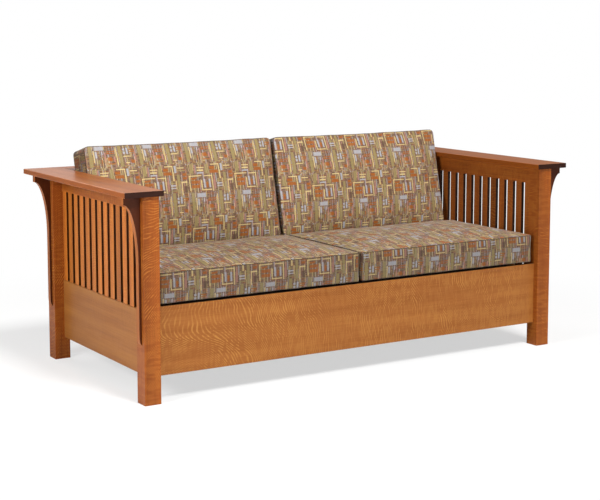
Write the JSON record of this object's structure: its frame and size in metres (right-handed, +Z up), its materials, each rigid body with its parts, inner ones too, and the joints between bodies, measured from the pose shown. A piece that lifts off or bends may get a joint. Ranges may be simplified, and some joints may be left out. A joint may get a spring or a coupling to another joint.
{
  "type": "sleeper sofa",
  "caption": "Slatted oak sofa with wide flat arms, loose boxed cushions and a three-panel bed that lifts and unfolds out over the front panel.",
  "frame": {"origin": "on the floor under the middle of the overall bounding box", "axes": "+X to the right of someone facing the sofa and along its length, +Y to the back, +Z up"},
  "size_m": [2.004, 0.955, 0.8596],
  "materials": {
    "oak": "satin clear-coated quarter-sawn oak, orange brown",
    "dark_oak": "satin clear-coated oak, darker red brown",
    "inner_wood": "plain unstained wood",
    "painted_steel": "dark grey powder coat",
    "mattress_ticking": "woven cotton ticking",
    "deck_cloth": "black woven polypropylene",
    "rubber_feet": "matt",
    "cushion_cloth": "taupe jacquard with small blocks of cream, rust and grey-blue"
  },
  "bodies": {
    "frame": {"post_front_left": "oak", "post_front_right": "oak", "post_back_left": "oak", "post_back_right": "oak", "corbel_front_left": "dark_oak", "corbel_front_right": "dark_oak", "corbel_back_left": "dark_oak", "corbel_back_right": "dark_oak", "arm_board_left": "dark_oak", "arm_board_right": "dark_oak", "arm_rail_left": "oak", "arm_rail_right": "oak", "arm_slats_left": "oak", "arm_slats_right": "oak", "side_panel_left": "oak", "side_panel_right": "oak", "front_panel": "oak", "back_panel": "oak", "back_rail": "oak", "back_slats": "oak", "back_cap": "dark_oak", "back_ledge": "inner_wood", "ledge_rail": "inner_wood", "ledge_cleats": "inner_wood", "glue_blocks": "inner_wood", "lift_rail_left": "painted_steel", "lift_rail_right": "painted_steel", "rail_bolts": "painted_steel"},
    "lower_links": {"lower_link_left": "painted_steel", "lower_link_right": "painted_steel", "torsion_tube": "painted_steel"},
    "upper_links": {"upper_link_left": "painted_steel", "upper_link_right": "painted_steel"},
    "head_section": {"head_frame": "painted_steel", "head_deck": "deck_cloth", "head_mattress": "mattress_ticking", "lift_brackets": "painted_steel"},
    "middle_section": {"middle_frame": "painted_steel", "middle_deck": "deck_cloth", "middle_mattress": "mattress_ticking", "middle_hinge_arms": "painted_steel"},
    "foot_section": {"foot_frame": "painted_steel", "foot_deck": "deck_cloth", "foot_mattress": "mattress_ticking", "pull_bar": "painted_steel"},
    "front_leg_pair": {"front_legs": "painted_steel", "front_leg_feet": "rubber_feet"},
    "middle_leg_pair": {"middle_legs": "painted_steel", "middle_leg_feet": "rubber_feet"},
    "left_seat_cushion": {"seat_cushion_left": "cushion_cloth"},
    "right_seat_cushion": {"seat_cushion_right": "cushion_cloth"},
    "left_back_cushion": {"back_cushion_left": "cushion_cloth"},
    "right_back_cushion": {"back_cushion_right": "cushion_cloth"}
  },
  "joints": [
    {"name": "bed_lift", "type": "hinge", "parent": "frame", "child": "lower_links", "pos_m": [0, -0.3815, 0.22945], "axis": [1, 0, 0], "range_deg": [0, 35]},
    {"name": "upper_link_swing", "type": "hinge", "parent": "frame", "child": "upper_links", "pos_m": [0, -0.3515, 0.28446], "axis": [1, 0, 0], "range_deg": [0, 35]},
    {"name": "head_level", "type": "hinge", "parent": "lower_links", "child": "head_section", "pos_m": [0, 0.003, 0.1192], "axis": [1, 0, 0], "range_deg": [-35, 0]},
    {"name": "middle_fold", "type": "hinge", "parent": "head_section", "child": "middle_section", "pos_m": [0, -0.3635, 0.1898], "axis": [1, 0, 0], "range_deg": [0, 180]},
    {"name": "foot_fold", "type": "hinge", "parent": "middle_section", "child": "foot_section", "pos_m": [0, 0.1205, 0.2709], "axis": [1, 0, 0], "range_deg": [-180, 0]},
    {"name": "front_leg_swing", "type": "hinge", "parent": "foot_section", "child": "front_leg_pair", "pos_m": [0, -0.384, 0.2804], "axis": [1, 0, 0], "range_deg": [-90, 0]},
    {"name": "middle_leg_swing", "type": "hinge", "parent": "foot_section", "child": "middle_leg_pair", "pos_m": [0, 0.081, 0.2804], "axis": [1, 0, 0], "range_deg": [0, 90]},
    {"name": "left_seat_cushion_lift", "type": "slide", "parent": "foot_section", "child": "left_seat_cushion", "axis": [0, 0, 1], "range_m": [0, 0.25]},
    {"name": "right_seat_cushion_lift", "type": "slide", "parent": "foot_section", "child": "right_seat_cushion", "axis": [0, 0, 1], "range_m": [0, 0.25]},
    {"name": "left_back_cushion_lift", "type": "slide", "parent": "frame", "child": "left_back_cushion", "axis": [0, 0, 1], "range_m": [0, 0.25]},
    {"name": "right_back_cushion_lift", "type": "slide", "parent": "frame", "child": "right_back_cushion", "axis": [0, 0, 1], "range_m": [0, 0.25]}
  ],
  "couplings": [
    {"joint": "upper_link_swing", "follows": "bed_lift", "ratio": 1},
    {"joint": "head_level", "follows": "bed_lift", "ratio": -1},
    {"joint": "middle_fold", "follows": "bed_lift", "ratio": 5.1429},
    {"joint": "foot_fold", "follows": "bed_lift", "ratio": -5.1429},
    {"joint": "front_leg_swing", "follows": "bed_lift", "ratio": -2.5714},
    {"joint": "middle_leg_swing", "follows": "bed_lift", "ratio": 2.5714}
  ]
}
